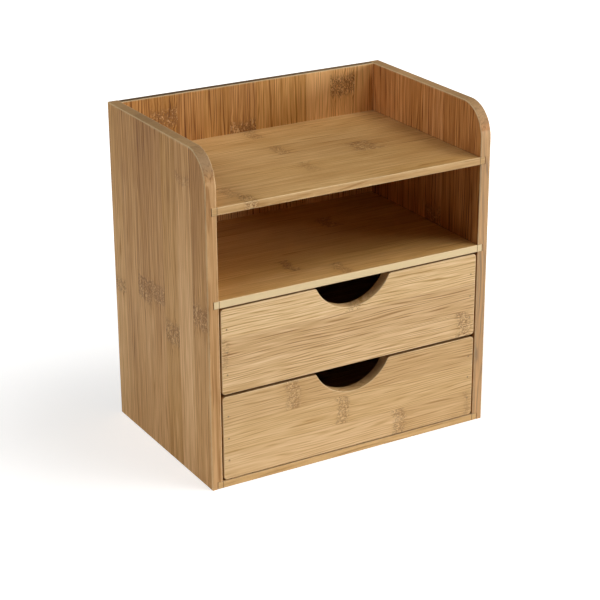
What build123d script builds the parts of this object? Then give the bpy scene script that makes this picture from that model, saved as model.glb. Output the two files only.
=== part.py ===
from build123d import *
import os

# A small cabinet of bamboo boards: an open tray on top, an open cubby under it, and two drawers
# with finger notches. The upper drawer slides on a wooden runner at each side, the lower one on
# the bottom board.
#
# Millimetres. +Z is up, +X is to the right seen from the front, and the front faces -Y.
# The origin is the middle of the footprint, on the surface that the cabinet stands on.

# Overall size of the cabinet
width = 190.5
depth = 124.0
height = 203.2

# Boards of the cabinet
side_thickness = 7.0
back_thickness = 5.0
board_thickness = 4.5
housing_depth = 3.5
housing_end_gap = 0.5
corner_radius = 20.0
panel_edge_round = 0.6
board_edge_round = 0.4

# Clear heights of the two open compartments, from the top down
tray_height = 31.0
cubby_height = 50.6

# Runners of the upper drawer
runner_width = 8.0
runner_height = 5.0
runner_setback = 1.0

# Drawers
front_thickness = 7.0
front_side_gap = 1.0
front_top_gap = 1.0
gap_between_fronts = 1.6
front_lift = 0.2
front_corner_round = 2.0
front_edge_round = 0.4
notch_width = 50.0
notch_depth = 16.0
notch_mouth_round = 1.8
wall_thickness = 7.0
wall_edge_round = 0.6
bottom_thickness = 3.0
bottom_height = 4.0
groove_depth = 3.0
groove_slack = 0.2
bottom_end_gap = 0.3

# Running clearances: under a drawer, over its walls, and behind it when it is shut
slide_clearance = 0.3
wall_top_clearance = 0.7
rear_clearance = 0.5

# Pins: thin headless nails, sunk a little below the wood
pin_radius = 0.6
pin_clearance = 0.02
pin_sink = 0.1
drawer_pin_length = 16.0
runner_pin_length = 12.0
pins_in_row = 3
pin_row_bottom_margin = 12.0
pin_row_top_margin = 8.0
runner_pin_margin = 15.0

# Heights of the shelves and the room that is left for the drawers
top_shelf_base = height - tray_height - board_thickness
middle_shelf_base = top_shelf_base - cubby_height - board_thickness
board_bases = {"bottom_board": 0.0, "middle_shelf": middle_shelf_base, "top_shelf": top_shelf_base}

# Faces of the cabinet that the other pieces are placed from
front_y = -depth / 2
back_inner_y = depth / 2 - back_thickness
inner_x = width / 2 - side_thickness

# Drawer heights: both fronts are alike and fill the opening under the middle shelf
drawer_base = board_thickness + slide_clearance
front_room = middle_shelf_base - front_top_gap - drawer_base - front_lift
front_height = (front_room - gap_between_fronts) / 2
drawer_pitch = front_height + gap_between_fronts
runner_base = drawer_base + drawer_pitch - slide_clearance - runner_height
wall_height = runner_base - wall_top_clearance - drawer_base
drawers = {"lower_drawer": drawer_base, "upper_drawer": drawer_base + drawer_pitch}

# Drawer plan: the walls stand behind the front, flush with its two ends
drawer_x = inner_x - front_side_gap
wall_inner_x = drawer_x - wall_thickness
wall_front_y = front_y + front_thickness
drawer_rear_y = back_inner_y - rear_clearance
rear_board_y = drawer_rear_y - wall_thickness
groove_height = bottom_thickness + groove_slack

# Runner plan
runner_front_y = wall_front_y + runner_setback
runner_inner_x = inner_x - runner_width

# Box alignments: a block that starts at its location, or is centred on it across
RIGHT_BACK_UP = (Align.MIN, Align.MIN, Align.MIN)
CENTRED_BACK_UP = (Align.CENTER, Align.MIN, Align.MIN)
UPWARD = (Align.CENTER, Align.CENTER, Align.MIN)


def save(piece, label):
    """Names a finished piece and writes it to its own file."""
    piece.part.label = label
    export_step(piece.part, f"parts/{label}.step")


def spread(start, end, count):
    """Evenly spaced positions, the first at start and the last at end."""
    return [start + (end - start) * k / (count - 1) for k in range(count)]


def drill(places, length):
    """Cuts the holes of the pins that are driven in at these places."""
    with Locations(*places):
        Cylinder(pin_radius + pin_clearance, pin_sink + length, align=UPWARD, mode=Mode.SUBTRACT)


def pins(places, length):
    """A group of pins, each sunk below the surface that it was driven into."""
    with BuildPart() as group:
        with Locations(*[place.offset(pin_sink) for place in places]):
            Cylinder(pin_radius, length, align=UPWARD)
    return group


def runner_pin_places():
    """Where the runners are pinned to the side panels, from the inside outwards."""
    rows = spread(runner_front_y + runner_pin_margin, back_inner_y - runner_pin_margin, pins_in_row)
    level = runner_base + runner_height / 2
    return [
        Plane(origin=(hand * runner_inner_x, y, level), z_dir=(hand, 0, 0))
        for hand in (-1, 1)
        for y in rows
    ]


def wall_pin_levels(base):
    """Heights of the pins in a row, up the end of a drawer wall."""
    return spread(base + pin_row_bottom_margin, base + wall_height - pin_row_top_margin, pins_in_row)


def front_pin_places(base):
    """Pins through the drawer front into the ends of the two side walls."""
    row_x = drawer_x - wall_thickness / 2
    return [
        Plane(origin=(hand * row_x, front_y, level), z_dir=(0, 1, 0))
        for hand in (-1, 1)
        for level in wall_pin_levels(base)
    ]


def rear_pin_places(base):
    """Pins through the side walls into the ends of the back board."""
    row_y = drawer_rear_y - wall_thickness / 2
    return [
        Plane(origin=(hand * drawer_x, row_y, level), z_dir=(-hand, 0, 0))
        for hand in (-1, 1)
        for level in wall_pin_levels(base)
    ]


def bottom_groove(base):
    """Cuts the groove that the drawer's bottom panel sits in, all round the inside of the box."""
    groove_x = wall_inner_x + groove_depth
    groove_front_y = wall_front_y - groove_depth
    groove_rear_y = rear_board_y + groove_depth
    with Locations((0, groove_front_y, base + bottom_height)):
        Box(
            2 * groove_x,
            groove_rear_y - groove_front_y,
            groove_height,
            align=CENTRED_BACK_UP,
            mode=Mode.SUBTRACT,
        )


def cabinet_board(base):
    """A thin board across the cabinet, its two ends held in the housings of the side panels."""
    with BuildPart() as board:
        with Locations((0, front_y, base)):
            Box(
                2 * (inner_x + housing_depth - housing_end_gap),
                back_inner_y - front_y,
                board_thickness,
                align=CENTRED_BACK_UP,
            )
        front_edges = board.faces().sort_by(Axis.Y)[0].edges().filter_by(Axis.X)
        fillet(front_edges, radius=board_edge_round)
    return board


def drawer_front(base):
    """The front board, with a round finger notch in the middle of its top edge."""
    bottom = base + front_lift
    notch_radius = (notch_width**2 / 4 + notch_depth**2) / (2 * notch_depth)
    with BuildPart() as front:
        with BuildSketch(Plane.XZ.offset(-front_y)) as outline:
            with Locations((0, bottom + front_height / 2)):
                RectangleRounded(2 * drawer_x, front_height, front_corner_round)
            with Locations((0, bottom + front_height - notch_depth + notch_radius)):
                Circle(notch_radius, mode=Mode.SUBTRACT)
            mouth = outline.vertices().group_by(Axis.Y)[-1].sort_by(lambda corner: abs(corner.X))[:2]
            fillet(mouth, radius=notch_mouth_round)
        extrude(amount=-front_thickness)
        fillet(front.faces().sort_by(Axis.Y)[0].edges(), radius=front_edge_round)
        bottom_groove(base)
        drill(front_pin_places(base), drawer_pin_length)
    return front


def drawer_left_side(base):
    """The left wall, which runs from the front board to the rear of the box."""
    with BuildPart() as side:
        with Locations((-drawer_x, wall_front_y, base)):
            Box(wall_thickness, drawer_rear_y - wall_front_y, wall_height, align=RIGHT_BACK_UP)
        top_edges = side.faces().sort_by(Axis.Z)[-1].edges().filter_by(Axis.Y)
        fillet(top_edges, radius=wall_edge_round)
        bottom_groove(base)
        drill(front_pin_places(base), drawer_pin_length)
        drill(rear_pin_places(base), drawer_pin_length)
    return side


def drawer_back(base):
    """The back board, which stands between the two side walls."""
    with BuildPart() as back:
        with Locations((0, rear_board_y, base)):
            Box(2 * wall_inner_x, wall_thickness, wall_height, align=CENTRED_BACK_UP)
        top_edges = back.faces().sort_by(Axis.Z)[-1].edges().filter_by(Axis.X)
        fillet(top_edges, radius=wall_edge_round)
        bottom_groove(base)
        drill(rear_pin_places(base), drawer_pin_length)
    return back


def drawer_bottom(base):
    """The thin bottom panel, which stops just short of the ends of its grooves."""
    reach = groove_depth - bottom_end_gap
    with BuildPart() as panel:
        with Locations((0, wall_front_y - reach, base + bottom_height)):
            Box(
                2 * (wall_inner_x + reach),
                rear_board_y - wall_front_y + 2 * reach,
                bottom_thickness,
                align=CENTRED_BACK_UP,
            )
    return panel


os.makedirs("parts", exist_ok=True)

# Side panels: the top front corner is rounded, and the boards are housed in the inner face
with BuildPart() as left_side_panel:
    with BuildSketch(Plane.YZ.offset(-width / 2)) as panel_outline:
        with Locations((0, height / 2)):
            Rectangle(depth, height)
        top_front_corner = panel_outline.vertices().group_by(Axis.Y)[-1].sort_by(Axis.X)[0]
        fillet(top_front_corner, radius=corner_radius)
    extrude(amount=side_thickness)
    fillet(left_side_panel.faces().filter_by(Axis.X).edges(), radius=panel_edge_round)
    for board_base in board_bases.values():
        with Locations((-inner_x - housing_depth, front_y, board_base)):
            Box(
                housing_depth,
                back_inner_y - front_y,
                board_thickness,
                align=RIGHT_BACK_UP,
                mode=Mode.SUBTRACT,
            )
    drill(runner_pin_places(), runner_pin_length)

with BuildPart() as right_side_panel:
    mirror(left_side_panel.part, about=Plane.YZ)

save(left_side_panel, "left_side_panel")
save(right_side_panel, "right_side_panel")

# Back panel: it stands between the side panels, level with their top edges
with BuildPart() as back_panel:
    with Locations((0, back_inner_y, 0)):
        Box(2 * inner_x, back_thickness, height, align=CENTRED_BACK_UP)
    back_top_edges = back_panel.faces().sort_by(Axis.Z)[-1].edges().filter_by(Axis.X)
    fillet(back_top_edges, radius=panel_edge_round)

save(back_panel, "back_panel")

# Bottom board and shelves
for board_name, board_base in board_bases.items():
    save(cabinet_board(board_base), board_name)

# Runners: strips pinned to the side panels behind the fronts, under the walls of the upper drawer
with BuildPart() as left_runner:
    with Locations((-inner_x, runner_front_y, runner_base)):
        Box(runner_width, back_inner_y - runner_front_y, runner_height, align=RIGHT_BACK_UP)
    drill(runner_pin_places(), runner_pin_length)

with BuildPart() as right_runner:
    mirror(left_runner.part, about=Plane.YZ)

save(left_runner, "left_runner")
save(right_runner, "right_runner")
save(pins(runner_pin_places(), runner_pin_length), "runner_pins")

# Drawers: two alike
for drawer_name, base in drawers.items():
    left_side = drawer_left_side(base)
    with BuildPart() as right_side:
        mirror(left_side.part, about=Plane.YZ)
    save(drawer_front(base), f"{drawer_name}_front")
    save(left_side, f"{drawer_name}_left_side")
    save(right_side, f"{drawer_name}_right_side")
    save(drawer_back(base), f"{drawer_name}_back")
    save(drawer_bottom(base), f"{drawer_name}_bottom")
    save(pins(front_pin_places(base) + rear_pin_places(base), drawer_pin_length), f"{drawer_name}_pins")
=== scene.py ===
import math

import bpy
from bpy.props import FloatProperty, FloatVectorProperty, PointerProperty
from mathutils import Matrix, Vector


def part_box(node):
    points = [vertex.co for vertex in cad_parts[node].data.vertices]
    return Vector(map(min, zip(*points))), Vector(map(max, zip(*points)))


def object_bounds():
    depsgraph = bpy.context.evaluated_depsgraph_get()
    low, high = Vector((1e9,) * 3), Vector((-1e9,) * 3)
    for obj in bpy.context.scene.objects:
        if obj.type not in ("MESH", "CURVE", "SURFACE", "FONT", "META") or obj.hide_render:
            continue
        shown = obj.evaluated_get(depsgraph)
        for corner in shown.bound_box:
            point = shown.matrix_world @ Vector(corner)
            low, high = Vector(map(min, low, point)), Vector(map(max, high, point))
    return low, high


bl_info = {
    "name": "Desktop Drawer Cabinet",
    "version": (1, 0, 0),
    "blender": (4, 5, 0),
    "location": "3D View > Sidebar > Cabinet",
    "description": "Finishes the boards of a small bamboo drawer cabinet and sets up its studio",
    "category": "Object",
}

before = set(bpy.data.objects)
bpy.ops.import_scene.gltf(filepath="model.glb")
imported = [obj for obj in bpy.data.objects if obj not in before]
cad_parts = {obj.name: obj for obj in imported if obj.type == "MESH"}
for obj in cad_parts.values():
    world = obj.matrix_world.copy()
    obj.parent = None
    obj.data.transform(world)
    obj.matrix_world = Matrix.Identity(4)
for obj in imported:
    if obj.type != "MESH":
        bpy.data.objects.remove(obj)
CAD_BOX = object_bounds()
MM = 0.001

LEFT, RIGHT = Vector((-1, 0, 0)), Vector((1, 0, 0))
FORWARD, BACK = Vector((0, -1, 0)), Vector((0, 1, 0))
DOWN, UP = Vector((0, 0, -1)), Vector((0, 0, 1))


class Knuckle:
    """One growth ring of the cane, where it crosses a strip of a board.

    Strip counts the strips from 0. Along and length are in millimetres, and strength is how well the mark
    shows. Line is the strength of the dark line at its upper rim, and beyond how much lighter the strip is
    past it.
    """

    def __init__(self, strip, along, length, strength=1.0, line=0.0, beyond=0.0):
        self.strip = strip
        self.along = along
        self.length = length
        self.strength = strength
        self.line = line
        self.beyond = beyond


class Board:
    """How the bamboo of one board lies, in millimetres from the corner where along and across start.

    Seam is where the first strip starts. A shade of 0.1 makes a strip a tenth lighter, and start does the
    same where along starts. On the shelves the darker start is painted shade by the right side panel; on
    the back panel start and shades are painted light and shade, as are the right panel's darker front
    strips. Stock is the colour of the board, and reverse that of its far face, where the two differ; the
    right panel's stock is a darker shaded copy of the panel colour, which is painted shade. An edge above 0
    makes the long edges paler, one below 0 browner; on the drawer fronts that is painted shade on the faces
    in the gaps. Rim does the same where a face rounds over into an edge: above 0 partly sanded paleness and
    partly a painted highlight, below 0 a painted shadow. End is how light the end grain is. Figure, streaks,
    grain and lines are the strengths of the broad clouds, the middling streaks, the fine fibres and the
    contour lines.
    """

    def __init__(self, node, along, across, seam=0.0, shades=(), knuckles=(), stock="panel", figure=1.0,
                 streaks=1.0, grain=1.0, lines=0.05, edge=0.0, rim=0.4, start=0.0, end=1.0, reverse="",
                 seed=0.0):
        self.node = node
        self.along = along
        self.across = across
        self.seam = seam
        self.shades = shades
        self.knuckles = knuckles
        self.stock = stock
        self.figure = figure
        self.streaks = streaks
        self.grain = grain
        self.lines = lines
        self.edge = edge
        self.rim = rim
        self.start = start
        self.end = end
        self.reverse = reverse
        self.seed = seed


SIDE_PANELS = (
    Board("left_side_panel", DOWN, FORWARD, seam=-2.5, stock="panel", figure=0.6, streaks=1.4, grain=1.1,
          lines=0.06, edge=-0.14, start=-0.22, seed=3.0,
          shades=(0.09, 0.02, -0.13, -0.04, -0.02, 0.08, -0.10),
          knuckles=(Knuckle(0, 114, 10, 0.8, beyond=0.06), Knuckle(2, 106, 14, 1.0, line=1.0, beyond=0.10),
                    Knuckle(3, 103, 12, 0.9, line=0.6, beyond=0.05), Knuckle(4, 121, 15, 1.0, beyond=-0.06),
                    Knuckle(5, 22, 6, 0.5, beyond=0.06), Knuckle(6, 98, 15, 1.0, beyond=0.08))),
    # The right panel's stock is a darker, redder shaded copy of the panel colour: painted shade on its inner
    # face. Its far face takes the panel colour, and its paler edge brings the front edge back up. Its two
    # front strips are darker still, more painted shade for the inside of the cabinet.
    Board("right_side_panel", DOWN, FORWARD, seam=-5.5, stock="right_panel", figure=1.1, streaks=2.0,
          grain=1.8, lines=0.12, edge=0.28, reverse="panel", seed=11.0,
          shades=(-0.04, 0.0, 0.06, -0.03, -0.02, -0.12, -0.15),
          knuckles=(Knuckle(1, 60, 14), Knuckle(3, 150, 12, beyond=0.05), Knuckle(4, 84, 15, line=0.6),
                    Knuckle(6, 128, 14, 0.8, beyond=-0.05))),
)
BACK_PANEL = (
    # The back panel's stock is raised and its start darkens the top, so the part under the top shelf is
    # paler: painted light. Its shades rise from left to right, partly painted light against the right panel's
    # shadow on the tray's back; the pale eighth strip is the wood's own tone.
    Board("back_panel", DOWN, RIGHT, seam=0.5, stock="back_panel", figure=0.5, streaks=0.5, grain=1.5,
          lines=0.11, edge=-0.2, start=-0.22, end=0.25, reverse="panel", seed=23.0,
          shades=(-0.13, -0.15, -0.13, -0.09, -0.03, 0.01, 0.10, 0.33, 0.27, 0.29),
          knuckles=(Knuckle(1, 15, 12, 1.1, beyond=0.04), Knuckle(4, 29, 9, 1.1),
                    Knuckle(8, 12, 14, 1.1, beyond=-0.05), Knuckle(2, 140, 14),
                    Knuckle(6, 96, 13, beyond=0.05), Knuckle(5, 170, 12), Knuckle(9, 120, 12),
                    Knuckle(0, 75, 12, line=0.6))),
)
SHELVES = (
    # Both shelves run along LEFT, so that their darker start lies by the right side panel: painted shade.
    Board("top_shelf", LEFT, FORWARD, seam=-0.5, stock="shelf", figure=0.6, streaks=0.7, grain=1.0,
          lines=0.04, edge=-0.18, start=-0.13, seed=31.0,
          shades=(0.02, 0.02, -0.02, 0.01, 0.02, 0.03, 0.05),
          knuckles=(Knuckle(0, 97, 9, 0.8), Knuckle(2, 98, 9, 0.8), Knuckle(3, 50, 17, 1.0),
                    Knuckle(4, 99, 9, 0.5), Knuckle(5, 162, 9, 0.6), Knuckle(6, 158, 9))),
    Board("middle_shelf", LEFT, FORWARD, seam=-8.0, stock="pale_shelf", figure=0.5, streaks=0.6, grain=0.7,
          lines=0.03, edge=0.9, start=-0.13, seed=37.0,
          shades=(0.0, -0.03, 0.01, 0.0, 0.0, 0.0, 0.01),
          knuckles=(Knuckle(2, 60, 12), Knuckle(5, 119, 7), Knuckle(6, 94, 8, 0.7))),
    # Its dark rim is a painted shadow on its rounded arrises, in the gap under the drawers and at the floor.
    Board("bottom_board", RIGHT, FORWARD, seam=-6.0, stock="shelf", figure=0.6, streaks=0.8, edge=0.1,
          rim=-0.9, seed=41.0,
          shades=(0.01, 0.0, -0.03, 0.01, 0.0, 0.03, 0.01),
          knuckles=(Knuckle(1, 60, 12), Knuckle(3, 130, 12), Knuckle(5, 40, 12))),
)
RUNNERS = (
    Board("left_runner", BACK, DOWN, seam=-2.0, stock="inner", seed=53.0),
    Board("right_runner", BACK, DOWN, seam=-2.0, stock="inner", seed=59.0),
)
DRAWER_FRONTS = (
    # The browner edge paints shade on the fronts' top and bottom faces, in the gaps; the pale rim is partly
    # sanded paleness and partly a painted highlight on the rounded arrises.
    Board("upper_drawer_front", RIGHT, DOWN, seam=0.3, stock="front", figure=0.25, streaks=0.15, grain=1.35,
          lines=0.03, edge=-0.6, rim=0.6, seed=61.0,
          shades=(0.08, -0.05, -0.01),
          knuckles=(Knuckle(0, 90, 9, 0.7, beyond=-0.05), Knuckle(2, 167, 10, 0.9), Knuckle(1, 3, 4, 0.5))),
    Board("lower_drawer_front", RIGHT, DOWN, seam=0.0, stock="front", figure=0.17, streaks=0.05, grain=0.95,
          lines=0.01, edge=-0.6, rim=0.6, seed=67.0,
          shades=(-0.06, -0.01, 0.06),
          knuckles=(Knuckle(0, 47, 10, 0.7, beyond=-0.09), Knuckle(1, 81, 9, 0.75, beyond=-0.03),
                    Knuckle(2, 121, 10, 0.7, beyond=-0.12), Knuckle(2, 171, 4, 0.4))),
)


def drawer_box(drawer, seed):
    """The boards behind a drawer's front."""
    return (
        Board(f"{drawer}_left_side", BACK, DOWN, seam=-6.0, stock="inner", seed=seed + 1,
              shades=(0.01, -0.01, 0.03, 0.0), knuckles=(Knuckle(1, 40, 10), Knuckle(2, 82, 10))),
        Board(f"{drawer}_right_side", BACK, DOWN, seam=-9.0, stock="inner", seed=seed + 2,
              shades=(0.0, 0.03, -0.01, 0.01), knuckles=(Knuckle(1, 71, 10), Knuckle(2, 25, 10))),
        Board(f"{drawer}_back", RIGHT, DOWN, seam=-4.0, stock="inner", seed=seed + 3,
              shades=(0.01, 0.0, 0.03, -0.01), knuckles=(Knuckle(1, 52, 10), Knuckle(2, 118, 10))),
        Board(f"{drawer}_bottom", RIGHT, FORWARD, seam=-3.0, stock="inner", seed=seed + 4,
              shades=(0.01, 0.0, -0.01, 0.03, 0.0, 0.01, -0.01),
              knuckles=(Knuckle(1, 44, 10), Knuckle(3, 101, 10), Knuckle(5, 72, 10))),
    )


DRAWER_BOXES = drawer_box("lower_drawer", 70.0) + drawer_box("upper_drawer", 80.0)
PIN_GROUPS = ("runner_pins", "lower_drawer_pins", "upper_drawer_pins")

# Each soft light: azimuth from straight in front and elevation in degrees, then width and height in metres
SOFT_LIGHTS = (
    ("key", 56, 9, 2.0, 1.0),
    ("top", 50, 60, 1.8, 1.8),
    ("side", -120, 10, 1.2, 1.2),
    ("fill", -90, 40, 1.2, 1.2),
)


class BambooSettings(bpy.types.PropertyGroup):
    """Colours and sizes of the bamboo that all the boards are cut from."""

    strip_width: FloatProperty(
        name="Strip Width", description="Width of the strips a board is glued up from", default=18.0 * MM,
        min=2.0 * MM, subtype="DISTANCE", unit="LENGTH")
    panel_colour: FloatVectorProperty(
        name="Panel", description="Colour of the left side panel and of the outer faces at right and back",
        default=(0.66, 0.365, 0.136), size=3, min=0, max=1, subtype="COLOR")
    # A darker, redder shaded copy of the panel colour: painted shade on the right panel's inner face.
    right_panel_colour: FloatVectorProperty(
        name="Shaded Right Panel", description="Colour of the right side panel's inner face and edges",
        default=(0.52, 0.223, 0.062), size=3, min=0, max=1, subtype="COLOR")
    # Raised to go with the back panel's darker start, so that its lower part carries painted light.
    back_panel_colour: FloatVectorProperty(
        name="Back Panel", description="Colour of the back panel's inner face and edges",
        default=(0.737, 0.397, 0.129), size=3, min=0, max=1, subtype="COLOR")
    shelf_colour: FloatVectorProperty(
        name="Shelf", description="Colour of the top shelf and the bottom board",
        default=(0.62, 0.356, 0.125), size=3, min=0, max=1, subtype="COLOR")
    pale_shelf_colour: FloatVectorProperty(
        name="Middle Shelf", description="Colour of the middle shelf, the palest board",
        default=(0.655, 0.388, 0.13), size=3, min=0, max=1, subtype="COLOR")
    front_colour: FloatVectorProperty(
        name="Fronts", description="Colour of the drawer fronts", default=(0.73, 0.468, 0.212), size=3,
        min=0, max=1, subtype="COLOR")
    inner_colour: FloatVectorProperty(
        name="Inner Boards", description="Colour of the drawer boxes and runners",
        default=(0.62, 0.38, 0.17), size=3, min=0, max=1, subtype="COLOR")
    # Also painted shade: the browner edges, the dark rims and the crease lines mix towards it.
    fibre_and_shade_colour: FloatVectorProperty(
        name="Fibres", description="Colour of the dark fibres in the knuckle marks, of seams and of joints",
        default=(0.25, 0.11, 0.033), size=3, min=0, max=1, subtype="COLOR")
    # Also painted highlight: the pale rims on rounded arrises mix towards it, along with worn and pale edges.
    pale_and_highlight_colour: FloatVectorProperty(
        name="Light Grains", description="Colour of the light specks in a knuckle",
        default=(0.89, 0.69, 0.39), size=3, min=0, max=1, subtype="COLOR")
    end_colour: FloatVectorProperty(
        name="End Grain", description="Colour of the bamboo where it is cut across",
        default=(0.51, 0.31, 0.14), size=3, min=0, max=1, subtype="COLOR")
    figure: FloatProperty(
        name="Figure", description="Strength of the broad clouds and bands along the grain", default=1.0,
        min=0, max=3, subtype="FACTOR")
    edge_wear: FloatProperty(
        name="Edge Wear", description="How much paler the sanded edges are", default=0.25, min=0, max=1,
        subtype="FACTOR")
    roughness: FloatProperty(
        name="Roughness", description="Roughness of the satin lacquer", default=0.52, min=0, max=1,
        subtype="FACTOR")


class StudioSettings(bpy.types.PropertyGroup):
    """Camera and light of the product photograph."""

    azimuth: FloatProperty(
        name="Azimuth", description="Camera's turn round the cabinet, from straight in front",
        default=math.radians(-30.153), subtype="ANGLE", unit="ROTATION")
    elevation: FloatProperty(
        name="Elevation", description="Camera's height above the horizon", default=math.radians(22.013),
        subtype="ANGLE", unit="ROTATION")
    roll: FloatProperty(
        name="Roll", description="Camera's tilt about its own line of sight", default=math.radians(-0.297),
        subtype="ANGLE", unit="ROTATION")
    distance: FloatProperty(
        name="Distance", description="Camera's distance from the middle of the cabinet", default=1.0993,
        subtype="DISTANCE", unit="LENGTH")
    aim: FloatVectorProperty(
        name="Aim", description="Where the middle of the cabinet lies from the picture's middle",
        default=(-0.0002, 0.0217), size=2, subtype="XYZ", unit="LENGTH")
    lens: FloatProperty(
        name="Lens", description="Focal length on a 36 mm frame", default=108.0, unit="CAMERA")
    key_power: FloatProperty(
        name="Key Light", description="Power of the low soft light on the right", default=62.5,
        subtype="POWER", unit="POWER")
    top_power: FloatProperty(
        name="Top Light", description="Power of the soft light high on the right", default=39.5,
        subtype="POWER", unit="POWER")
    side_power: FloatProperty(
        name="Side Light", description="Power of the low soft light behind on the left", default=6.0,
        subtype="POWER", unit="POWER")
    fill_power: FloatProperty(
        name="Fill Light", description="Power of the soft light high on the left", default=29.0,
        subtype="POWER", unit="POWER")
    light_distance: FloatProperty(
        name="Light Distance", description="Distance from the cabinet to each light", default=3.0,
        subtype="DISTANCE", unit="LENGTH")
    room_light: FloatProperty(
        name="Room Light", description="Light from the room all round", default=0.03, min=0)
    floor_glow: FloatProperty(
        name="Floor Glow", description="How far the floor is burnt out by the cabinet's foot", default=0.65,
        min=0)
    backdrop_glow: FloatProperty(
        name="Backdrop Glow", description="How far it is burnt out well away from the cabinet",
        default=0.95, min=0)
    floor_colour: FloatVectorProperty(
        name="Floor", description="Colour of the floor", default=(0.86, 0.86, 0.855), size=3, min=0, max=1,
        subtype="COLOR")


# How far the darker start of a board reaches, in millimetres; on the shelves and back panel it is painted
# shade
START_LENGTH = 130.0

# The layers of a board's figure, from the broadest to the finest
FIGURE = ("Clouds", "Bands", "Streaks", "Lines", "Fibres", "Bundles")

# What is gathered from one knuckle of a board to the next
KNUCKLE_MARKS = ("Band", "Ground", "Rim", "Shift")

# Width of the picture frame that the lens is given for, and how near and far the camera sees
FRAME_WIDTH = 36.0
CLIP_START, CLIP_END = 0.05, 50.0


class Wiring:
    """Adds nodes to one shader tree and joins them, so that a formula reads from left to right."""

    COLUMN, ROW, PER_ROW = 190, 260, 12

    def __init__(self, tree):
        self.tree = tree

    def feed(self, socket, value):
        if isinstance(value, bpy.types.NodeSocket):
            self.tree.links.new(value, socket)
        elif value is not None:
            socket.default_value = value

    def node(self, kind, inputs, **settings):
        node = self.tree.nodes.new(kind)
        place = len(self.tree.nodes)
        node.location = (place % self.PER_ROW * self.COLUMN, -(place // self.PER_ROW) * self.ROW)
        for name, value in settings.items():
            setattr(node, name, value)
        for name, value in inputs.items():
            self.feed(node.inputs[name], value)
        return node

    def math(self, operation, a, b=None, c=None, clamp=False):
        values = {i: v for i, v in enumerate((a, b, c)) if v is not None}
        return self.node("ShaderNodeMath", values, operation=operation, use_clamp=clamp).outputs[0]

    def total(self, given, shares, start=0.0):
        """Start plus each of the named values times its share."""
        for name, share in shares.items():
            start = self.math("MULTIPLY_ADD", given[name], share, start)
        return start

    def vector(self, operation, a, b=None):
        node = self.node("ShaderNodeVectorMath", {0: a, 1: b}, operation=operation)
        return node.outputs["Value" if operation in ("DOT_PRODUCT", "LENGTH") else "Vector"]

    def split(self, vector):
        return self.node("ShaderNodeSeparateXYZ", {0: vector}).outputs

    def join(self, x=0.0, y=0.0, z=0.0):
        return self.node("ShaderNodeCombineXYZ", {0: x, 1: y, 2: z}).outputs[0]

    def noise(self, vector, seed, detail=2.0, roughness=0.5, distortion=0.0):
        inputs = {"Vector": vector, "W": seed, "Scale": 1.0, "Detail": detail, "Roughness": roughness,
                  "Distortion": distortion}
        return self.node("ShaderNodeTexNoise", inputs, noise_dimensions="4D").outputs[0]

    def span(self, value, start, end, low=0.0, high=1.0):
        """Value taken from start..end to low..high, held at its ends, with a soft start and stop."""
        inputs = {"Value": value, "From Min": start, "From Max": end, "To Min": low, "To Max": high}
        return self.node("ShaderNodeMapRange", inputs, interpolation_type="SMOOTHSTEP").outputs[0]

    def mix(self, amount, a, b, blend="MIX"):
        node = self.node("ShaderNodeMix", {}, data_type="RGBA", blend_type=blend)
        for index, value in ((0, amount), (6, a), (7, b)):
            self.feed(node.inputs[index], value)
        return node.outputs[2]

    def group(self, tree, inputs):
        node = self.node("ShaderNodeGroup", {}, node_tree=tree)
        for name, value in inputs.items():
            self.feed(node.inputs[name], value)
        return node.outputs


def effect(name, inputs, outputs, build):
    """A shader node group, made once. build fills it and returns what each output puts out, by name."""
    if name in bpy.data.node_groups:
        return bpy.data.node_groups[name]
    tree = bpy.data.node_groups.new(name, "ShaderNodeTree")
    for label, kind, default in inputs:
        socket = tree.interface.new_socket(name=label, in_out="INPUT", socket_type=f"NodeSocket{kind}")
        if default is not None:
            socket.default_value = default
    for label, kind in outputs:
        tree.interface.new_socket(name=label, in_out="OUTPUT", socket_type=f"NodeSocket{kind}")
    wire = Wiring(tree)
    source = wire.node("NodeGroupInput", {})
    results = build(wire, source.outputs)
    sink = wire.node("NodeGroupOutput", {})
    for label, value in results.items():
        wire.feed(sink.inputs[label], value)
    return tree


def board_frame():
    """Millimetres along, across and through a board, counted from one of its corners."""

    def build(wire, given):
        place = wire.vector("SUBTRACT", given["Position"], given["Corner"])
        place = wire.vector("MULTIPLY", place, (1 / MM,) * 3)
        axes = [wire.vector("DOT_PRODUCT", place, given[axis]) for axis in ("Along", "Across", "Through")]
        return {"Board": wire.join(*axes)}

    inputs = (("Position", "Vector", None), ("Corner", "Vector", None), ("Along", "Vector", (1, 0, 0)),
              ("Across", "Vector", (0, 1, 0)), ("Through", "Vector", (0, 0, 1)))
    return effect("Board Frame", inputs, (("Board", "Vector"),), build)


def bamboo_strips():
    """The strips that a board is glued up from, edge to edge."""
    seam_width = 0.22

    def build(wire, given):
        across = wire.split(given["Board"])[1]
        steps = wire.math("DIVIDE", wire.math("SUBTRACT", across, given["First Seam"]), given["Strip Width"])
        number = wire.math("FLOOR", steps)
        place = wire.math("SUBTRACT", wire.math("SUBTRACT", steps, number), 0.5)
        to_seam = wire.math("MULTIPLY", wire.math("SUBTRACT", 0.5, wire.math("ABSOLUTE", place)),
                            given["Strip Width"])
        chance = wire.node("ShaderNodeTexWhiteNoise", {"Vector": wire.join(number, given["Seed"])},
                           noise_dimensions="3D").outputs["Color"]
        tone, warmth, _ = wire.node("ShaderNodeSeparateColor", {0: chance}).outputs
        return {
            "Number": number,
            "Place": wire.math("MULTIPLY", place, given["Strip Width"]),
            "Seam": wire.span(to_seam, 0.0, seam_width, 1.0, 0.0),
            "Tone": tone,
            "Warmth": warmth,
        }

    inputs = (("Board", "Vector", None), ("Strip Width", "Float", 18.0), ("First Seam", "Float", 0.0),
              ("Seed", "Float", 0.0))
    outputs = tuple((name, "Float") for name in ("Number", "Place", "Seam", "Tone", "Warmth"))
    return effect("Bamboo Strips", inputs, outputs, build)


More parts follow.
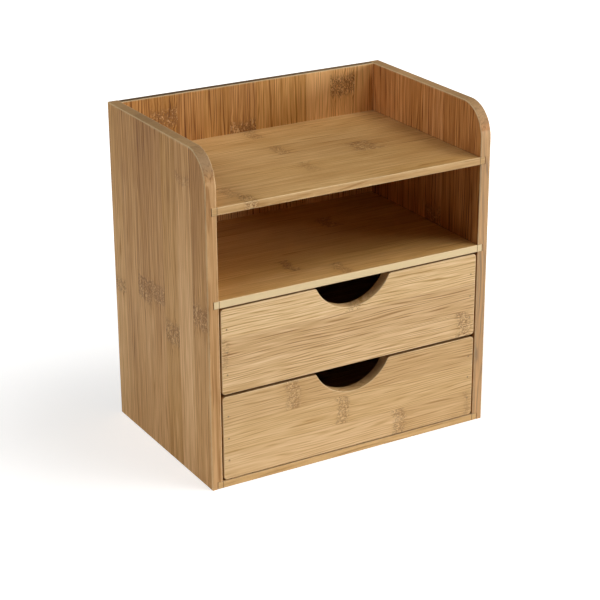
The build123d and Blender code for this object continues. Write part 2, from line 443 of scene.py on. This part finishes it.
def bamboo_knuckle():
    """Adds one knuckle to those gathered so far: its band, the darker ground round it, and its upper rim."""
    # Where the band and the ground fade, in half lengths of the knuckle, and the rim and the shift, in mm
    band_fade, ground_fade, rim_fade, shift_fade = (0.55, 1.25), (0.7, 2.8), (0.3, 1.1), (-2.0, 2.0)

    def build(wire, given):
        off = wire.math("ADD", wire.math("SUBTRACT", given["Along"], given["Centre"]), given["Sway"])
        half = wire.math("MULTIPLY", given["Length"], 0.5)
        reach = wire.math("DIVIDE", wire.math("ABSOLUTE", off), half)
        strip = wire.math("COMPARE", given["Number"], given["Strip"], 0.5)
        here = wire.math("MULTIPLY", strip, given["Strength"])
        band = wire.math("MULTIPLY", wire.span(reach, *band_fade, 1.0, 0.0), here)
        ground = wire.math("MULTIPLY", wire.span(reach, *ground_fade, 1.0, 0.0), here)
        rim = wire.span(wire.math("ABSOLUTE", wire.math("ADD", off, half)), *rim_fade, 1.0, 0.0)
        rim = wire.math("MULTIPLY", rim, wire.math("MULTIPLY", here, given["Line"]))
        shift = wire.math("MULTIPLY", wire.span(off, *shift_fade),
                          wire.math("MULTIPLY", strip, given["Beyond"]))
        return {
            "Band": wire.math("MAXIMUM", given["Band"], band),
            "Ground": wire.math("MAXIMUM", given["Ground"], ground),
            "Rim": wire.math("MAXIMUM", given["Rim"], rim),
            "Shift": wire.math("ADD", given["Shift"], shift),
        }

    names = ("Along", "Number", "Sway", "Strip", "Centre", "Length", "Strength", "Line", "Beyond",
             *KNUCKLE_MARKS)
    inputs = tuple((name, "Float", 0.0) for name in names)
    outputs = tuple((name, "Float") for name in KNUCKLE_MARKS)
    return effect("Bamboo Knuckle", inputs, outputs, build)


def knuckle_sway():
    """The uneven arch that every knuckle follows across its strip."""
    arch_rise, wave_rate, wave_height = 0.02, 0.2, 9.0

    def build(wire, given):
        across = wire.split(given["Board"])[1]
        arch = wire.math("MULTIPLY", wire.math("POWER", given["Place"], 2.0), arch_rise)
        wave = wire.noise(wire.join(wire.math("MULTIPLY", across, wave_rate)), given["Seed"])
        wave = wire.math("MULTIPLY", wire.math("SUBTRACT", wave, 0.5), wave_height)
        return {"Sway": wire.math("ADD", arch, wave)}

    inputs = (("Board", "Vector", None), ("Place", "Float", 0.0), ("Seed", "Float", 0.0))
    return effect("Knuckle Sway", inputs, (("Sway", "Float"),), build)


def knuckle_grains():
    """The tangled fibres of the knuckles, as small dark and light marks."""
    # How fast the tangle and the gaps in the rim change, per millimetre along, across and through the board
    tangle_rate, gap_rate = (0.4, 0.65, 0.65), (0.1, 0.45, 0.45)
    tangle_middle = 0.47
    dark_fade, light_rise, line_rise = (0.015, 0.11), (0.56, 0.68), (0.42, 0.55)

    def build(wire, given):
        tangle = wire.noise(wire.vector("MULTIPLY", given["Board"], tangle_rate), given["Seed"], detail=1.0,
                            distortion=1.4)
        from_middle = wire.math("ABSOLUTE", wire.math("SUBTRACT", tangle, tangle_middle))
        dark = wire.math("MULTIPLY", wire.span(from_middle, *dark_fade, 1.0, 0.0), given["Band"])
        light = wire.math("MULTIPLY", wire.span(tangle, *light_rise), given["Band"])
        broken = wire.noise(wire.vector("MULTIPLY", given["Board"], gap_rate), given["Seed"])
        line = wire.math("MULTIPLY", given["Rim"], wire.span(broken, *line_rise))
        return {"Dark": wire.math("MAXIMUM", dark, line), "Light": light}

    inputs = (("Board", "Vector", None), ("Band", "Float", 0.0), ("Rim", "Float", 0.0),
              ("Seed", "Float", 0.0))
    return effect("Knuckle Grains", inputs, (("Dark", "Float"), ("Light", "Float")), build)


def bamboo_fibres():
    """Streaks and fibres that run along a strip, and show as dots in its end grain. They are even about 0."""
    # Millimetres that the grain sways and ripples sideways, and how much more it ripples round a knuckle
    sway_reach, ripple_reach, knuckle_ripple = 3.0, 0.12, 3.8
    bundle_pitch, bundle_wander = 1.8, 3.0
    cloud_rate = (0.022, 0.06, 0.06)
    seed_step = 7.31

    def build(wire, given):
        along, across, through = wire.split(given["Board"])
        own = wire.math("ADD", given["Seed"], wire.math("MULTIPLY", given["Number"], seed_step))

        def bend(stretch, fineness):
            """How far the grain bends sideways here. Both rates are per millimetre, as in streaks."""
            place = wire.join(wire.math("MULTIPLY", along, stretch), wire.math("MULTIPLY", across, fineness))
            return wire.math("SUBTRACT", wire.noise(place, own, detail=1.0), 0.5)

        sway = bend(stretch=0.012, fineness=0.03)
        ripple = wire.math("MULTIPLY", bend(stretch=0.13, fineness=0.35),
                           wire.math("MULTIPLY_ADD", given["Ground"], knuckle_ripple, ripple_reach))
        line = wire.math("ADD", across, wire.math("MULTIPLY_ADD", sway, sway_reach, ripple))

        def streaks(stretch, fineness, detail=0.0, roughness=0.5):
            place = wire.join(wire.math("MULTIPLY", along, stretch), wire.math("MULTIPLY", line, fineness),
                              wire.math("MULTIPLY", through, fineness))
            return wire.math("SUBTRACT", wire.noise(place, own, detail, roughness), 0.5)

        clouds = wire.noise(wire.vector("MULTIPLY", given["Board"], cloud_rate), own)
        # The fibre bundles are thin dark lines, nearly evenly spaced, that fade in and out along the strip
        turns = wire.math("MULTIPLY_ADD", streaks(stretch=0.015, fineness=0.25), bundle_wander,
                          wire.math("DIVIDE", line, bundle_pitch))
        wave = wire.math("SINE", wire.math("MULTIPLY", turns, math.tau))
        bundle = wire.math("SUBTRACT", 0.25, wire.span(wave, 0.2, 1.0))
        present = wire.span(streaks(stretch=0.05, fineness=0.7, detail=1.0), -0.16, 0.12)
        contour = wire.math("ABSOLUTE", streaks(stretch=0.007, fineness=0.5))
        return {
            "Clouds": wire.math("SUBTRACT", clouds, 0.5),
            "Bands": streaks(stretch=0.006, fineness=0.21, detail=1.0),
            "Streaks": streaks(stretch=0.012, fineness=0.6, detail=1.0, roughness=0.6),
            "Lines": wire.span(contour, 0.02, 0.09, 1.0, 0.0),
            "Fibres": streaks(stretch=0.06, fineness=1.6),
            "Bundles": wire.math("MULTIPLY", bundle, present),
        }

    inputs = (("Board", "Vector", None), ("Number", "Float", 0.0), ("Ground", "Float", 0.0),
              ("Seed", "Float", 0.0))
    outputs = tuple((name, "Float") for name in FIGURE)
    return effect("Bamboo Fibres", inputs, outputs, build)


def edge_wear():
    """How near a point is to the nearest edge of its board: 1 on the edge, 0 from the given width inwards."""
    ragged_rate = (0.25, 0.25, 0.25)
    narrowest, widest = 0.4, 1.4

    def build(wire, given):
        lows = wire.split(given["Board"])
        highs = wire.split(wire.vector("SUBTRACT", given["Size"], given["Board"]))
        near = [wire.math("ABSOLUTE", wire.math("MINIMUM", low, high)) for low, high in zip(lows, highs)]
        pairs = [wire.math("MAXIMUM", near[i], near[j]) for i, j in ((0, 1), (1, 2), (0, 2))]
        second = wire.math("MINIMUM", wire.math("MINIMUM", pairs[0], pairs[1]), pairs[2])
        ragged = wire.noise(wire.vector("MULTIPLY", given["Board"], ragged_rate), seed=1.0, detail=3.0)
        width = wire.math("MULTIPLY", given["Width"], wire.span(ragged, 0.3, 0.7, narrowest, widest))
        return {"Wear": wire.math("SUBTRACT", 1.0, wire.math("DIVIDE", second, width), clamp=True)}

    inputs = (("Board", "Vector", None), ("Size", "Vector", (1, 1, 1)), ("Width", "Float", 1.2))
    return effect("Edge Wear", inputs, (("Wear", "Float"),), build)


def cut_faces():
    """Where a board's surface is cut.

    End is turned along the grain, Edge is one of the two long edges, Rounded is where a face rounds over, and
    Far is the face turned away from Through.
    """
    edge_reach = 0.8

    def build(wire, given):
        end = wire.math("ABSOLUTE", wire.vector("DOT_PRODUCT", given["Normal"], given["Along"]))
        edge = wire.math("ABSOLUTE", wire.vector("DOT_PRODUCT", given["Normal"], given["Across"]))
        face = wire.math("ABSOLUTE", wire.vector("DOT_PRODUCT", given["Normal"], given["Through"]))
        rounded = wire.math("MULTIPLY", wire.span(face, 0.1, 0.4), wire.span(face, 0.9, 0.99, 1.0, 0.0))
        across = wire.split(given["Board"])[1]
        inwards = wire.math("MINIMUM", across, wire.math("SUBTRACT", wire.split(given["Size"])[1], across))
        near = wire.span(inwards, edge_reach / 2, edge_reach, 1.0, 0.0)
        edge = wire.math("MULTIPLY", wire.span(edge, 0.6, 0.9), near)
        far = wire.math("LESS_THAN", wire.vector("DOT_PRODUCT", given["Normal"], given["Through"]), -0.5)
        return {"End": wire.span(end, 0.15, 0.7), "Edge": edge, "Rounded": rounded, "Far": far}

    inputs = (("Board", "Vector", None), ("Size", "Vector", (1, 1, 1)), ("Normal", "Vector", None),
              ("Along", "Vector", (1, 0, 0)), ("Across", "Vector", (0, 1, 0)),
              ("Through", "Vector", (0, 0, 1)))
    outputs = tuple((name, "Float") for name in ("End", "Edge", "Rounded", "Far"))
    return effect("Cut Faces", inputs, outputs, build)


def crease_shade_line():
    """Painted shade: the thin dark line in the crease where a board inside the cabinet meets the side panels.
    """
    line_width = 0.75 * MM

    def build(wire, given):
        x = wire.math("ABSOLUTE", wire.split(given["Position"])[0])
        to_side = wire.math("SUBTRACT", given["Half Room"], x)
        return {"Joint": wire.math("MULTIPLY", wire.span(to_side, 0.4 * line_width, line_width, 1.0, 0.0),
                                   wire.math("GREATER_THAN", to_side, 0.0))}

    inputs = (("Position", "Vector", None), ("Half Room", "Float", 0.1))
    return effect("Joint Line", inputs, (("Joint", "Float"),), build)


def bamboo_colour():
    """Puts the figure of a board together: its colour, its roughness and the height of its surface."""
    # How far each layer swings the colour lighter or darker
    broad_shares = {"Clouds": 0.55, "Bands": 0.30}
    fine_shares = {"Fibres": 0.32, "Bundles": 0.34}
    streak_share, tone_spread, ground_shade = 0.5, 0.06, 0.07
    # The mean of the contour lines' mask, how much calmer the end grain is, and the darkest swing
    lines_mean, end_calm, darkest = 0.4, 0.7, 0.2
    # Darker bamboo is redder too, so green falls off faster than red, and blue faster still
    green_power, blue_power, warmth_spread = 1.4, 2.3, 0.10
    end_cover = 0.85
    # The marks that lie over the wood, from the lowest up: how well each covers it, and its colour. The last
    # is painted shade in the crease by the side panels.
    marks = (("Light", 0.6, "Speck Colour"), ("Dark", 0.75, "Fibre Colour"), ("Seam", 0.12, "Fibre Colour"),
             ("Joint", 0.85, "Fibre Colour"))
    rough_shares = {"Bundles": -0.06, "Clouds": 0.25, "End": 0.12, "Wear": -0.06}
    height_shares = {"Seam": -0.8, "Fibres": 0.8, "Bundles": 0.3, "Dark": -0.6}

    def build(wire, given):
        broad = wire.math("MULTIPLY", wire.total(given, broad_shares), given["Figure"])
        lines = wire.math("MULTIPLY", wire.math("SUBTRACT", lines_mean, given["Lines"]), given["Line Depth"])
        streaks = wire.math("MULTIPLY", given["Streaks"],
                            wire.math("MULTIPLY", given["Streak Depth"], streak_share))
        swing = wire.math("MULTIPLY_ADD", wire.total(given, fine_shares), given["Grain"],
                          wire.math("ADD", lines, streaks))
        swing = wire.math("ADD", swing, broad)
        calm = wire.math("MULTIPLY_ADD", given["End"], -end_calm, 1.0)
        swing = wire.math("MULTIPLY_ADD", swing, calm, given["Shade"])
        swing = wire.math("MULTIPLY_ADD", wire.math("SUBTRACT", given["Tone"], 0.5), tone_spread, swing)
        swing = wire.math("MULTIPLY_ADD", given["Ground"], -ground_shade, swing)
        swing = wire.math("MAXIMUM", wire.math("ADD", swing, 1.0), darkest)
        red, green, blue = wire.split(given["Colour"])
        warm = wire.math("MULTIPLY", wire.math("SUBTRACT", given["Warmth"], 0.5), warmth_spread)
        colour = wire.join(
            wire.math("MULTIPLY", red, swing),
            wire.math("MULTIPLY", green, wire.math("POWER", swing, green_power)),
            wire.math("MULTIPLY", blue, wire.math("SUBTRACT", wire.math("POWER", swing, blue_power), warm)),
        )
        ends = wire.vector("MULTIPLY", given["End Colour"], wire.join(swing, swing, swing))
        colour = wire.mix(wire.math("MULTIPLY", given["End"], end_cover), colour, ends)
        # Edge above 0 mixes towards the pale colour and below 0 towards the dark one: board tone, and painted
        # light where the rim paints highlights and shadows and the fronts' edges paint shade in the gaps.
        paler = wire.math("MAXIMUM", given["Edge"], 0.0)
        browner = wire.math("MAXIMUM", wire.math("MULTIPLY", given["Edge"], -1.0), 0.0)
        colour = wire.mix(paler, colour, given["Light Colour"])
        colour = wire.mix(browner, colour, given["Fibre Colour"])
        for mark, cover, tint in marks:
            colour = wire.mix(wire.math("MULTIPLY", given[mark], cover), colour, given[tint])
        worn = wire.math("MULTIPLY", given["Wear"], given["Edge Wear"])
        colour = wire.mix(worn, colour, given["Light Colour"])
        return {
            "Colour": colour,
            "Roughness": wire.total(given, rough_shares, given["Roughness"]),
            "Height": wire.total(given, height_shares),
        }

    floats = (*FIGURE, "Figure", "Streak Depth", "Grain", "Line Depth", "Shade", "Tone", "Warmth", "Ground",
              "Dark", "Light", "Seam", "Joint", "End", "Edge", "Wear", "Edge Wear", "Roughness")
    colours = ("Colour", "Fibre Colour", "Light Colour", "Speck Colour", "End Colour")
    inputs = tuple((name, "Color", None) for name in colours) + tuple((name, "Float", 0.0) for name in floats)
    outputs = (("Colour", "Color"), ("Roughness", "Float"), ("Height", "Float"))
    return effect("Bamboo Colour", inputs, outputs, build)


def surface(name, tree_filler, **constants):
    """A material with one Principled shader. tree_filler joins what varies, constants go on its sockets."""
    material = bpy.data.materials.new(name)
    material.use_nodes = True
    tree = material.node_tree
    tree.nodes.clear()
    wire = Wiring(tree)
    shader = wire.node("ShaderNodeBsdfPrincipled", constants)
    output = wire.node("ShaderNodeOutputMaterial", {})
    tree.links.new(shader.outputs[0], output.inputs["Surface"])
    tree_filler(wire, shader)
    return material


def strip_shades(wire, number, shades):
    """The shade of each strip, as the share by which it is lighter than its board."""
    if not shades:
        return 0.0
    place = wire.math("DIVIDE", wire.math("ADD", number, 0.5), len(shades))
    ramp = wire.node("ShaderNodeValToRGB", {0: place})
    ramp.color_ramp.interpolation = "CONSTANT"
    stops = ramp.color_ramp.elements
    for i, shade in enumerate(shades):
        stop = stops[i] if i < 2 else stops.new(1.0)
        stop.position = i / len(shades)
        level = (shade + 1) / 2
        stop.color = (level, level, level, 1)
    return wire.math("MULTIPLY", wire.math("SUBTRACT", ramp.outputs[0], 0.5), 2.0)


def bamboo(board, settings):
    """The lacquered bamboo of one board."""
    satin_bump, bump_height = 0.5, 0.05 * MM
    low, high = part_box(board.node)
    through = board.along.cross(board.across)
    corner = Vector([low[i] if (board.along + board.across + through)[i] > 0 else high[i] for i in range(3)])
    size = [abs((high - low).dot(axis)) / MM for axis in (board.along, board.across, through)]
    colour = getattr(settings, f"{board.stock}_colour")

    def fill(wire, shader):
        source = wire.node("ShaderNodeTexCoord", {}).outputs
        axes = {"Along": board.along, "Across": board.across, "Through": through}
        place = wire.group(board_frame(), {"Position": source["Object"], "Corner": corner, **axes})["Board"]
        strips = wire.group(bamboo_strips(), {"Board": place, "Strip Width": settings.strip_width / MM,
                                              "First Seam": board.seam, "Seed": board.seed})
        number = strips["Number"]
        marks = dict.fromkeys(KNUCKLE_MARKS, 0.0)
        if board.knuckles:
            along = wire.split(place)[0]
            sway = wire.group(knuckle_sway(), {"Board": place, "Place": strips["Place"],
                                               "Seed": board.seed})["Sway"]
        for knuckle in board.knuckles:
            marks = wire.group(bamboo_knuckle(), {
                "Along": along, "Number": number, "Sway": sway, "Strip": knuckle.strip,
                "Centre": knuckle.along, "Length": knuckle.length, "Strength": knuckle.strength,
                "Line": knuckle.line, "Beyond": knuckle.beyond,
                **{name: marks[name] for name in KNUCKLE_MARKS}})
        grains = {"Dark": 0.0, "Light": 0.0}
        if board.knuckles:
            grains = wire.group(knuckle_grains(), {"Board": place, "Band": marks["Band"], "Rim": marks["Rim"],
                                                   "Seed": board.seed})
        fibres = wire.group(bamboo_fibres(), {"Board": place, "Number": number, "Ground": marks["Ground"],
                                              "Seed": board.seed})
        cut = wire.group(cut_faces(), {"Board": place, "Size": size, "Normal": source["Normal"], **axes})
        # Edge tone and painted light: the rim paints a highlight on rounded arrises, with some sanded
        # paleness, or a shadow where it is below 0; a browner edge on the fronts paints shade in the gaps.
        edges = wire.math("MULTIPLY_ADD", cut["Rounded"], board.rim,
                          wire.math("MULTIPLY", cut["Edge"], board.edge))
        wear = wire.group(edge_wear(), {"Board": place, "Size": size})["Wear"]
        shade = wire.math("ADD", strip_shades(wire, number, board.shades), marks["Shift"])
        # Darker where along starts: on the shelves painted shade by the right side panel, on the back panel
        # painted shade over the tray, with its raised stock leaving painted light lower down.
        if board.start:
            start = wire.span(wire.split(place)[0], 0.0, START_LENGTH, board.start, 0.0)
            shade = wire.math("MULTIPLY_ADD", start, wire.math("SUBTRACT", 1.0, cut["Edge"]), shade)
        # Painted shade: a dark line in the crease where a shelf or the bottom board meets a side panel.
        crease_shade = 0.0
        if board in SHELVES:
            half_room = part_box("back_panel")[1].x
            crease_shade = wire.group(crease_shade_line(), {"Position": source["Object"], "Half Room": half_room})["Joint"]
        ends = [board.end * channel for channel in settings.end_colour]
        specks = [(own + light) / 2 for own, light in zip(colour, settings.pale_and_highlight_colour)]
        faces = (*colour, 1)
        # The far face takes this other stock; on the right panel the near face is a shaded copy, painted
        # shade.
        if board.reverse:
            faces = wire.mix(cut["Far"], faces, (*getattr(settings, f"{board.reverse}_colour"), 1))
        blend = wire.group(bamboo_colour(), {
            "Colour": faces, "Fibre Colour": (*settings.fibre_and_shade_colour, 1),
            "Light Colour": (*settings.pale_and_highlight_colour, 1), "Speck Colour": (*specks, 1),
            "End Colour": (*ends, 1), "Shade": shade, "Tone": strips["Tone"], "Warmth": strips["Warmth"],
            "Seam": strips["Seam"],
            **{name: fibres[name] for name in FIGURE},
            "Figure": settings.figure * board.figure, "Streak Depth": board.streaks, "Grain": board.grain,
            "Line Depth": board.lines, "Ground": marks["Ground"], "Dark": grains["Dark"],
            "Light": grains["Light"], "End": cut["End"], "Edge": edges, "Joint": crease_shade, "Wear": wear,
            "Edge Wear": settings.edge_wear, "Roughness": settings.roughness})
        wire.feed(shader.inputs["Base Color"], blend["Colour"])
        wire.feed(shader.inputs["Roughness"], blend["Roughness"])
        bump = wire.node("ShaderNodeBump", {"Height": blend["Height"], "Strength": satin_bump,
                                            "Distance": bump_height})
        wire.feed(shader.inputs["Normal"], bump.outputs[0])

    return surface(f"Bamboo {board.node}", fill, IOR=1.46)


def pin_steel():
    """Dull steel of the headless pins, almost hidden by filler and lacquer of the wood's colour."""
    dark_filler, pale_filler = (0.36, 0.21, 0.09, 1), (0.50, 0.33, 0.17, 1)
    speckle_rate = (900.0, 900.0, 900.0)

    def fill(wire, shader):
        position = wire.node("ShaderNodeTexCoord", {}).outputs["Object"]
        speckle = wire.noise(wire.vector("MULTIPLY", position, speckle_rate), seed=5.0, detail=3.0)
        colour = wire.mix(wire.span(speckle, 0.35, 0.65), dark_filler, pale_filler)
        wire.feed(shader.inputs["Base Color"], colour)
        wire.feed(shader.inputs["Roughness"], wire.span(speckle, 0.2, 0.8, 0.4, 0.7))

    return surface("Pin Steel", fill, Metallic=0.25)


def dress(node, material):
    """Gives a CAD node its finish."""
    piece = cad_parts[node]
    piece.data.materials.clear()
    piece.data.materials.append(material)


def finish_boards(boards, settings):
    for board in boards:
        dress(board.node, bamboo(board, settings))


class CABINET_OT_side_panels(bpy.types.Operator):
    """Finish the two side panels, grain upright"""

    bl_idname = "cabinet.side_panels"
    bl_label = "Side Panels"

    def execute(self, context):
        finish_boards(SIDE_PANELS, context.scene.cabinet_bamboo)
        return {"FINISHED"}


class CABINET_OT_back_panel(bpy.types.Operator):
    """Finish the back panel, grain upright"""

    bl_idname = "cabinet.back_panel"
    bl_label = "Back Panel"

    def execute(self, context):
        finish_boards(BACK_PANEL, context.scene.cabinet_bamboo)
        return {"FINISHED"}


class CABINET_OT_shelves(bpy.types.Operator):
    """Finish the two shelves and the bottom board, grain from side to side"""

    bl_idname = "cabinet.shelves"
    bl_label = "Shelves and Bottom Board"

    def execute(self, context):
        finish_boards(SHELVES, context.scene.cabinet_bamboo)
        return {"FINISHED"}


class CABINET_OT_runners(bpy.types.Operator):
    """Finish the two runners of the upper drawer"""

    bl_idname = "cabinet.runners"
    bl_label = "Runners"

    def execute(self, context):
        finish_boards(RUNNERS, context.scene.cabinet_bamboo)
        return {"FINISHED"}


class CABINET_OT_drawer_fronts(bpy.types.Operator):
    """Finish the two drawer fronts with their finger notches"""

    bl_idname = "cabinet.drawer_fronts"
    bl_label = "Drawer Fronts"

    def execute(self, context):
        finish_boards(DRAWER_FRONTS, context.scene.cabinet_bamboo)
        return {"FINISHED"}


class CABINET_OT_drawer_boxes(bpy.types.Operator):
    """Finish the sides, backs and bottoms of the two drawers"""

    bl_idname = "cabinet.drawer_boxes"
    bl_label = "Drawer Boxes"

    def execute(self, context):
        finish_boards(DRAWER_BOXES, context.scene.cabinet_bamboo)
        return {"FINISHED"}


class CABINET_OT_pins(bpy.types.Operator):
    """Finish the headless pins"""

    bl_idname = "cabinet.pins"
    bl_label = "Pins"

    def execute(self, context):
        steel = pin_steel()
        for group in PIN_GROUPS:
            dress(group, steel)
        return {"FINISHED"}


def direction(azimuth, elevation):
    """The way from the cabinet to something at this azimuth and elevation."""
    level = math.cos(elevation)
    return Vector((math.sin(azimuth) * level, -math.cos(azimuth) * level, math.sin(elevation)))


def place_camera(scene, studio):
    """The camera of the photograph, aimed past the middle of the cabinet."""
    middle = (CAD_BOX[0] + CAD_BOX[1]) / 2
    back = direction(studio.azimuth, studio.elevation)
    right = UP.cross(back).normalized()
    up = back.cross(right)
    upright = Matrix((right, up, back)).transposed()
    turned = upright @ Matrix.Rotation(studio.roll, 3, "Z")
    data = bpy.data.cameras.new("photo_camera")
    data.lens = studio.lens
    data.sensor_width = FRAME_WIDTH
    data.clip_start, data.clip_end = CLIP_START, CLIP_END
    camera = bpy.data.objects.new("photo_camera", data)
    offset = turned @ Vector((-studio.aim[0], -studio.aim[1], studio.distance))
    camera.matrix_world = Matrix.Translation(middle + offset) @ turned.to_4x4()
    scene.collection.objects.link(camera)
    scene.camera = camera


def place_light(scene, studio, name, azimuth, elevation, width, height):
    """A rectangular soft light that faces the cabinet."""
    middle = (CAD_BOX[0] + CAD_BOX[1]) / 2
    back = direction(math.radians(azimuth), math.radians(elevation))
    data = bpy.data.lights.new(name, "AREA")
    data.shape = "RECTANGLE"
    data.size, data.size_y = width, height
    data.energy = getattr(studio, f"{name}_power")
    light = bpy.data.objects.new(name, data)
    light.location = middle + back * studio.light_distance
    light.rotation_mode = "QUATERNION"
    light.rotation_quaternion = (-back).to_track_quat("-Z", "Y")
    scene.collection.objects.link(light)


def place_floor(scene, studio):
    """A pale plain floor, wide enough for every view."""
    half = 6.0
    grain_rate, grain_share, grain_grey = (400.0, 400.0, 400.0), 0.02, (0.7, 0.7, 0.7, 1)
    glow_start, glow_full = 0.13, 0.5
    mesh = bpy.data.meshes.new("floor")
    corners = [(-half, -half, 0), (half, -half, 0), (half, half, 0), (-half, half, 0)]
    mesh.from_pydata(corners, [], [(0, 1, 2, 3)])
    floor = bpy.data.objects.new("floor", mesh)
    scene.collection.objects.link(floor)

    def fill(wire, shader):
        position = wire.node("ShaderNodeTexCoord", {}).outputs["Object"]
        grain = wire.noise(wire.vector("MULTIPLY", position, grain_rate), seed=2.0)
        tint = (*studio.floor_colour, 1)
        colour = wire.mix(wire.math("MULTIPLY", grain, grain_share), tint, grain_grey)
        wire.feed(shader.inputs["Base Color"], colour)
        wire.feed(shader.inputs["Emission Color"], colour)
        away = wire.span(wire.vector("LENGTH", position), glow_start, glow_full, studio.floor_glow,
                         studio.backdrop_glow)
        seen = wire.node("ShaderNodeLightPath", {}).outputs["Is Camera Ray"]
        wire.feed(shader.inputs["Emission Strength"], wire.math("MULTIPLY", seen, away))

    mesh.materials.append(surface("Pale Floor", fill, Roughness=0.9))


def light_room(scene, studio):
    """Dim even light from all round, behind a white backdrop."""
    backdrop = 1.05
    world = bpy.data.worlds.new("studio")
    world.use_nodes = True
    wire = Wiring(world.node_tree)
    world.node_tree.nodes.clear()
    seen = wire.node("ShaderNodeLightPath", {}).outputs["Is Camera Ray"]
    strength = wire.math("ADD", wire.math("MULTIPLY", seen, backdrop - studio.room_light), studio.room_light)
    glow = wire.node("ShaderNodeBackground", {"Color": (1, 1, 1, 1), "Strength": strength})
    output = wire.node("ShaderNodeOutputWorld", {})
    world.node_tree.links.new(glow.outputs[0], output.inputs["Surface"])
    scene.world = world


class CABINET_OT_stage(bpy.types.Operator):
    """Set up the floor, the soft light and the photograph's camera"""

    bl_idname = "cabinet.stage"
    bl_label = "Studio"

    def execute(self, context):
        scene, studio = context.scene, context.scene.cabinet_studio
        place_camera(scene, studio)
        for light in SOFT_LIGHTS:
            place_light(scene, studio, *light)
        place_floor(scene, studio)
        light_room(scene, studio)
        scene.view_settings.view_transform = "Standard"
        scene.view_settings.look = "None"
        return {"FINISHED"}


OPERATORS = (
    CABINET_OT_side_panels,
    CABINET_OT_back_panel,
    CABINET_OT_shelves,
    CABINET_OT_runners,
    CABINET_OT_drawer_fronts,
    CABINET_OT_drawer_boxes,
    CABINET_OT_pins,
    CABINET_OT_stage,
)


class CABINET_PT_sidebar(bpy.types.Panel):
    """Settings of the cabinet and buttons for its pieces"""

    bl_idname = "CABINET_PT_sidebar"
    bl_label = "Drawer Cabinet"
    bl_space_type = "VIEW_3D"
    bl_region_type = "UI"
    bl_category = "Cabinet"

    def draw(self, context):
        scene = context.scene
        for heading, settings in (("Bamboo", scene.cabinet_bamboo), ("Studio", scene.cabinet_studio)):
            box = self.layout.box()
            box.label(text=heading)
            for name in settings.__annotations__:
                box.prop(settings, name)
        for operator in OPERATORS:
            self.layout.operator(operator.bl_idname)


CLASSES = (BambooSettings, StudioSettings, *OPERATORS, CABINET_PT_sidebar)


def register():
    for cls in CLASSES:
        bpy.utils.register_class(cls)
    bpy.types.Scene.cabinet_bamboo = PointerProperty(type=BambooSettings)
    bpy.types.Scene.cabinet_studio = PointerProperty(type=StudioSettings)


def unregister():
    del bpy.types.Scene.cabinet_studio
    del bpy.types.Scene.cabinet_bamboo
    for cls in reversed(CLASSES):
        bpy.utils.unregister_class(cls)


def main():
    register()
    for operator in OPERATORS:
        group, name = operator.bl_idname.split(".")
        getattr(getattr(bpy.ops, group), name)()


if __name__ == "__main__":
    main()
